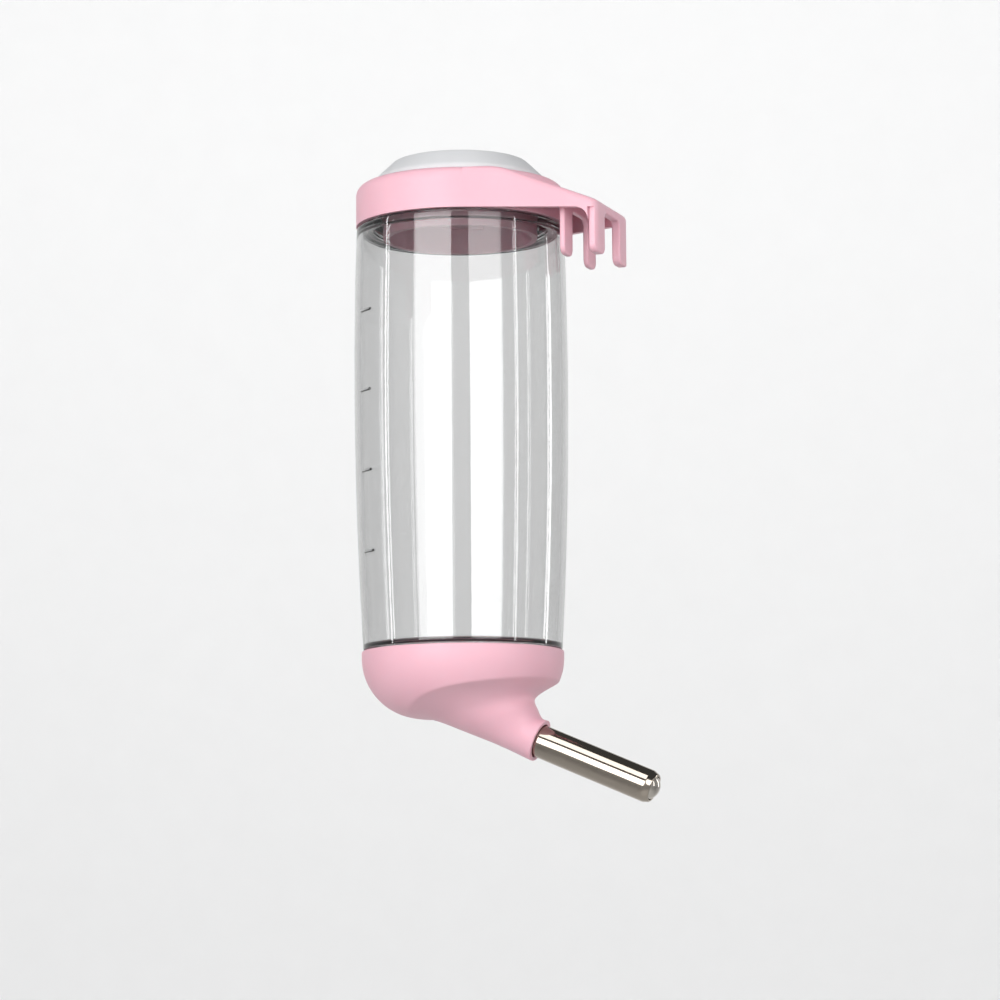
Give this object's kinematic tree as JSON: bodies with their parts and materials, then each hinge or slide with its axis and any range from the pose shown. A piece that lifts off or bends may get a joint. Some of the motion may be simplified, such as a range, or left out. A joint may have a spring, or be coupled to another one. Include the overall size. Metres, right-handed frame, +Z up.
{
  "type": "rabbit water bottle",
  "caption": "Hanging water bottle for rabbits and small livestock: clear body, hooked collar, screw fill cap on top, and a spring ball valve in a slanted steel drinking tube.",
  "frame": {"origin": "middle of the seat for the cage wire, between the four hook tabs, level with the lower edge of the collar", "axes": "+Z up along the bottle, +X from the bottle towards the cage, in the plane of the hook and the drinking tube"},
  "size_m": [0.1064, 0.0736, 0.2227],
  "materials": {
    "collar": "satin moulded polypropylene, pale pink",
    "housing": "satin moulded polypropylene, pale pink",
    "cap": "fine matte moulded polypropylene, off-white",
    "cap_inner": "moulded polypropylene, off-white",
    "clear": "polished clear styrene plastic",
    "seal": "translucent silicone",
    "tube": "polished stainless steel",
    "ball": "polished stainless steel",
    "spring": "drawn stainless wire",
    "retainer": "moulded acetal, white"
  },
  "bodies": {
    "collar": {"hook_collar": "collar"},
    "cap_lift": {"cap_seal": "seal"},
    "fill_cap": {"cap_shell": "cap", "cap_plug": "cap_inner"},
    "neck_drop": {"neck_seal": "seal"},
    "bottle": {"bottle_body": "clear"},
    "housing_drop": {"housing_seal": "seal"},
    "nozzle": {"nozzle_housing": "housing", "tube_bush": "seal", "drinking_tube": "tube", "valve_spring": "spring", "spring_retainer": "retainer"},
    "ball": {"valve_ball": "ball"}
  },
  "joints": [
    {"name": "cap_rise", "type": "slide", "parent": "collar", "child": "cap_lift", "axis": [0, 0, 1], "range_m": [0, 0.00802]},
    {"name": "cap_turn", "type": "hinge", "parent": "cap_lift", "child": "fill_cap", "pos_m": [-0.048, 0, 0.0144], "axis": [0, 0, 1], "range_deg": [0, 360]},
    {"name": "bottle_lower", "type": "slide", "parent": "collar", "child": "neck_drop", "axis": [0, 0, -1], "range_m": [0, 0.01202]},
    {"name": "bottle_turn", "type": "hinge", "parent": "neck_drop", "child": "bottle", "pos_m": [-0.048, 0, 0], "axis": [0, 0, -1], "range_deg": [0, 540]},
    {"name": "housing_lower", "type": "slide", "parent": "bottle", "child": "housing_drop", "axis": [0, 0, -1], "range_m": [0, 0.00802]},
    {"name": "housing_turn", "type": "hinge", "parent": "housing_drop", "child": "nozzle", "pos_m": [-0.048, 0, -0.147], "axis": [0, 0, -1], "range_deg": [0, 360]},
    {"name": "ball_press", "type": "slide", "parent": "nozzle", "child": "ball", "axis": [-0.9205, 0, 0.3907], "range_m": [0, 0.002], "stiffness_N_per_m": 120, "springref_m": -0.002, "deforming": ["valve_spring"]}
  ],
  "couplings": [
    {"joint": "cap_rise", "follows": "cap_turn", "m_per_rad": 0.0012732},
    {"joint": "bottle_lower", "follows": "bottle_turn", "m_per_rad": 0.0012732},
    {"joint": "housing_lower", "follows": "housing_turn", "m_per_rad": 0.0012732}
  ]
}
